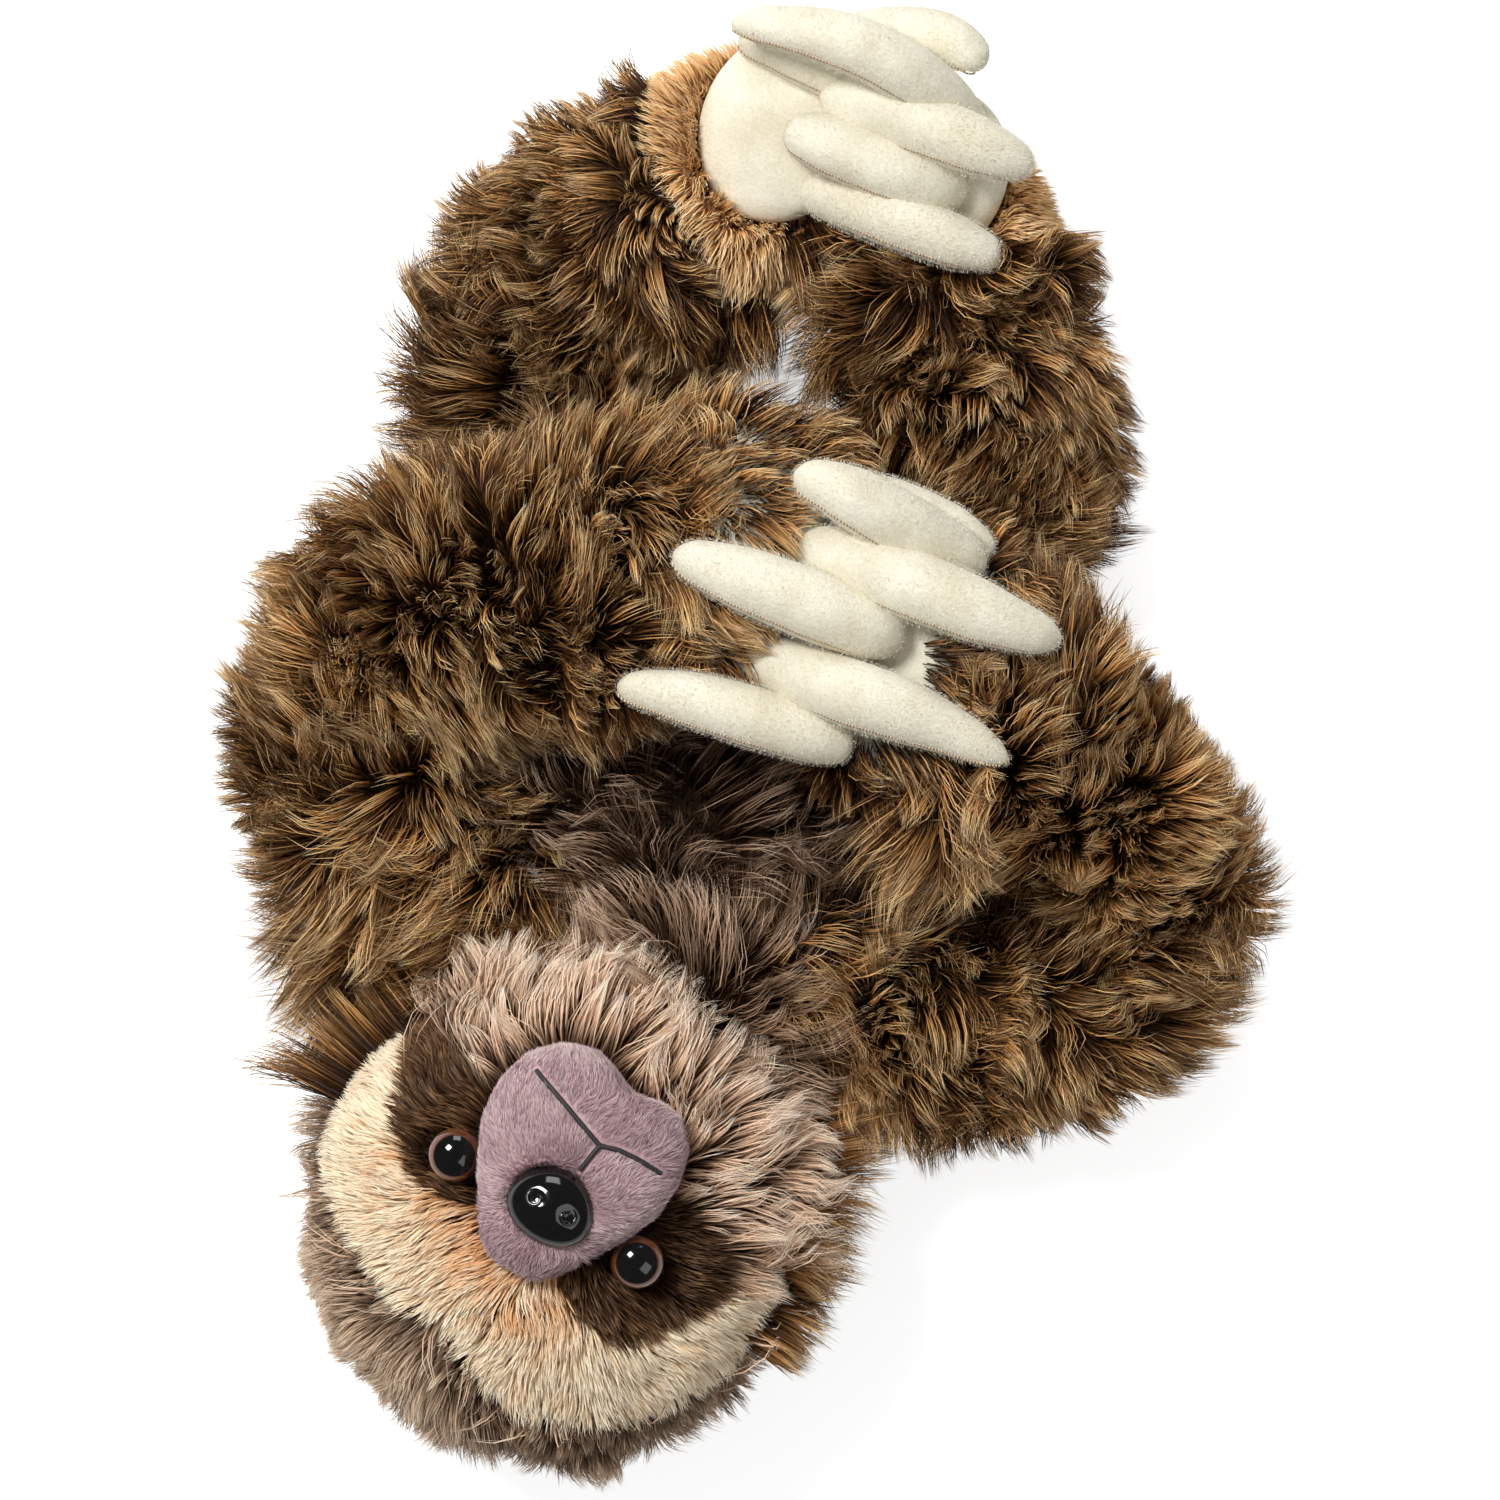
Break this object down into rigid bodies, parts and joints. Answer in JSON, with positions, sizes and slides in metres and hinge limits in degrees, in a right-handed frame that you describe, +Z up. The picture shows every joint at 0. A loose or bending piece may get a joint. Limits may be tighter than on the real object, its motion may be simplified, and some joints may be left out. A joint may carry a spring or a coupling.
{
  "type": "plush sloth",
  "caption": "Shaggy stuffed sloth lying on its back, with its long clawed hands and its feet clasped over its belly.",
  "frame": {"origin": "middle of the flat of the back that the toy lies on", "axes": "+Z up, out of the belly and the face; +Y towards the feet, the head at -Y; the animal's left side at -X"},
  "size_m": [0.2387, 0.3509, 0.1198],
  "materials": {
    "body_fur": "long shaggy pile, dark roots and golden-tan tips",
    "head_fur": "shaggy taupe pile with pale tips",
    "brow_fur": "cream pile",
    "eye_patch_fur": "short dark-brown pile",
    "muzzle_pile": "very short mauve pile",
    "tan_fur": "short tan pile",
    "cream_velour": "brushed velour",
    "stuffing": "loose polyester fibre",
    "eye_plastic": "polished, dark amber over black",
    "nose_plastic": "polished black",
    "washer_nylon": "moulded"
  },
  "bodies": {
    "torso": {"torso_fur": "body_fur", "torso_stuffing": "stuffing", "left_upper_arm_fur": "body_fur", "left_upper_arm_stuffing": "stuffing", "left_thigh_fur": "body_fur", "left_thigh_stuffing": "stuffing", "right_upper_arm_fur": "body_fur", "right_upper_arm_stuffing": "stuffing", "right_thigh_fur": "body_fur", "right_thigh_stuffing": "stuffing"},
    "neck": {"neck_fur": "body_fur"},
    "head": {"head_fur": "head_fur", "head_stuffing": "stuffing", "muzzle": "muzzle_pile", "brow_band": "brow_fur", "nose": "nose_plastic", "nose_washer": "washer_nylon", "left_eye_patch": "eye_patch_fur", "left_eye": "eye_plastic", "left_eye_washer": "washer_nylon", "right_eye_patch": "eye_patch_fur", "right_eye": "eye_plastic", "right_eye_washer": "washer_nylon"},
    "left_forearm": {"left_forearm_fur": "body_fur", "left_forearm_stuffing": "stuffing", "left_palm": "cream_velour", "left_hand_claw_1": "cream_velour", "left_hand_claw_2": "cream_velour", "left_hand_claw_3": "cream_velour"},
    "right_forearm": {"right_forearm_fur": "body_fur", "right_forearm_stuffing": "stuffing", "right_palm": "cream_velour", "right_hand_claw_1": "cream_velour", "right_hand_claw_2": "cream_velour", "right_hand_claw_3": "cream_velour"},
    "left_shin": {"left_shin_fur": "body_fur", "left_shin_stuffing": "stuffing", "left_foot_cuff": "tan_fur", "left_sole": "cream_velour", "left_foot_claw_1": "cream_velour", "left_foot_claw_2": "cream_velour", "left_foot_claw_3": "cream_velour"},
    "right_shin": {"right_shin_fur": "body_fur", "right_shin_stuffing": "stuffing", "right_foot_cuff": "tan_fur", "right_sole": "cream_velour", "right_foot_claw_1": "cream_velour", "right_foot_claw_2": "cream_velour", "right_foot_claw_3": "cream_velour"}
  },
  "joints": [
    {"name": "arms_open", "type": "hinge", "parent": "torso", "child": "left_forearm", "pos_m": [-0.07579, 0.00461, 0.03], "axis": [-0.3746, -0.9272, 0], "range_deg": [0, 70]},
    {"name": "right_elbow", "type": "hinge", "parent": "torso", "child": "right_forearm", "pos_m": [0.10252, -0.04802, 0.03], "axis": [0.3746, 0.9272, 0], "range_deg": [0, 70]},
    {"name": "legs_open", "type": "hinge", "parent": "torso", "child": "left_shin", "pos_m": [-0.03034, 0.09846, 0.0312], "axis": [-0.3746, -0.9272, 0], "range_deg": [0, 70]},
    {"name": "right_knee", "type": "hinge", "parent": "torso", "child": "right_shin", "pos_m": [0.06754, 0.06434, 0.03], "axis": [0.3746, 0.9272, 0], "range_deg": [0, 70]},
    {"name": "head_nod", "type": "hinge", "parent": "torso", "child": "neck", "pos_m": [-0.00349, -0.07076, 0.0438], "axis": [-0.8616, 0.5075, 0], "range_deg": [0, 10]},
    {"name": "head_turn", "type": "hinge", "parent": "neck", "child": "head", "pos_m": [-0.00349, -0.07076, 0.0438], "axis": [-0.5075, -0.8616, 0], "range_deg": [-20, 20]}
  ],
  "couplings": [
    {"joint": "right_elbow", "follows": "arms_open", "ratio": 1},
    {"joint": "right_knee", "follows": "legs_open", "ratio": 1}
  ]
}
